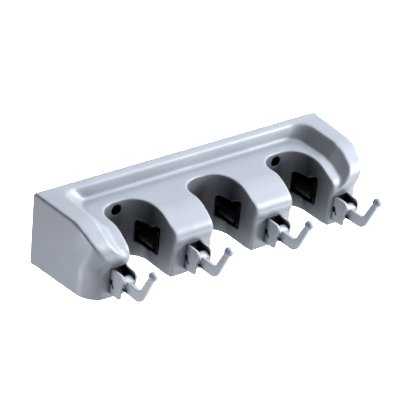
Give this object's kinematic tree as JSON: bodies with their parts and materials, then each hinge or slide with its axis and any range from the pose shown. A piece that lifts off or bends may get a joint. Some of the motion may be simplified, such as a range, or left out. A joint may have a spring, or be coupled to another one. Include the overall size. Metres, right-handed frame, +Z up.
{
  "type": "wall mop holder rack",
  "caption": "Wall rack of grey plastic that grips mop and broom handles in open notches with rollers and hangs small tools on folding hooks.",
  "frame": {"origin": "on the wall, midway between the two wall-screw holes, 40 mm above the foot of the rack", "axes": "+X along the rack to the right as seen from the front, -Y out of the wall to the front, +Z up"},
  "size_m": [0.26, 0.1111, 0.057],
  "materials": {
    "body": "satin",
    "bracket": "satin",
    "hook": "satin",
    "plate": "matt",
    "cage": "matt",
    "core": "satin",
    "rubber": "matt",
    "steel": "zinc plated"
  },
  "bodies": {
    "rack": {"housing": "body", "back_plate": "plate", "back_plate_screws": "steel", "cage_screws": "steel", "bracket_screws": "steel", "roller_cage_1": "cage", "roller_cage_2": "cage", "roller_cage_3": "cage", "grip_strip_1": "rubber", "grip_strip_2": "rubber", "grip_strip_3": "rubber", "hook_bracket_1": "bracket", "hook_bracket_2": "bracket", "hook_bracket_3": "bracket", "hook_bracket_4": "bracket"},
    "axle_1": {"roller_axle_1": "steel"},
    "roller_1": {"roller_core_1": "core", "roller_tyre_1": "rubber"},
    "axle_2": {"roller_axle_2": "steel"},
    "roller_2": {"roller_core_2": "core", "roller_tyre_2": "rubber"},
    "axle_3": {"roller_axle_3": "steel"},
    "roller_3": {"roller_core_3": "core", "roller_tyre_3": "rubber"},
    "hook_1": {"hook_1": "hook", "hook_pin_1": "steel"},
    "hook_2": {"hook_2": "hook", "hook_pin_2": "steel"},
    "hook_3": {"hook_3": "hook", "hook_pin_3": "steel"},
    "hook_4": {"hook_4": "hook", "hook_pin_4": "steel"}
  },
  "joints": [
    {"name": "roller_lift_1", "type": "slide", "parent": "rack", "child": "axle_1", "axis": [0.7431, 0, 0.6691], "range_m": [0, 0.008]},
    {"name": "roller_spin_1", "type": "hinge", "parent": "axle_1", "child": "roller_1", "pos_m": [-0.05225, -0.04, -0.0215], "axis": [0, 1, 0], "continuous": true},
    {"name": "roller_lift_2", "type": "slide", "parent": "rack", "child": "axle_2", "axis": [0.7431, 0, 0.6691], "range_m": [0, 0.008]},
    {"name": "roller_spin_2", "type": "hinge", "parent": "axle_2", "child": "roller_2", "pos_m": [0.02175, -0.04, -0.0215], "axis": [0, 1, 0], "continuous": true},
    {"name": "roller_lift_3", "type": "slide", "parent": "rack", "child": "axle_3", "axis": [0.7431, 0, 0.6691], "range_m": [0, 0.008]},
    {"name": "roller_spin_3", "type": "hinge", "parent": "axle_3", "child": "roller_3", "pos_m": [0.09575, -0.04, -0.0215], "axis": [0, 1, 0], "continuous": true},
    {"name": "hook_fold_1", "type": "hinge", "parent": "rack", "child": "hook_1", "pos_m": [-0.103, -0.07842, -0.02143], "axis": [-1, 0, 0], "range_deg": [0, 80]},
    {"name": "hook_fold_2", "type": "hinge", "parent": "rack", "child": "hook_2", "pos_m": [-0.037, -0.07842, -0.02143], "axis": [-1, 0, 0], "range_deg": [0, 80]},
    {"name": "hook_fold_3", "type": "hinge", "parent": "rack", "child": "hook_3", "pos_m": [0.037, -0.07842, -0.02143], "axis": [-1, 0, 0], "range_deg": [0, 80]},
    {"name": "hook_fold_4", "type": "hinge", "parent": "rack", "child": "hook_4", "pos_m": [0.103, -0.07842, -0.02143], "axis": [-1, 0, 0], "range_deg": [0, 80]}
  ]
}
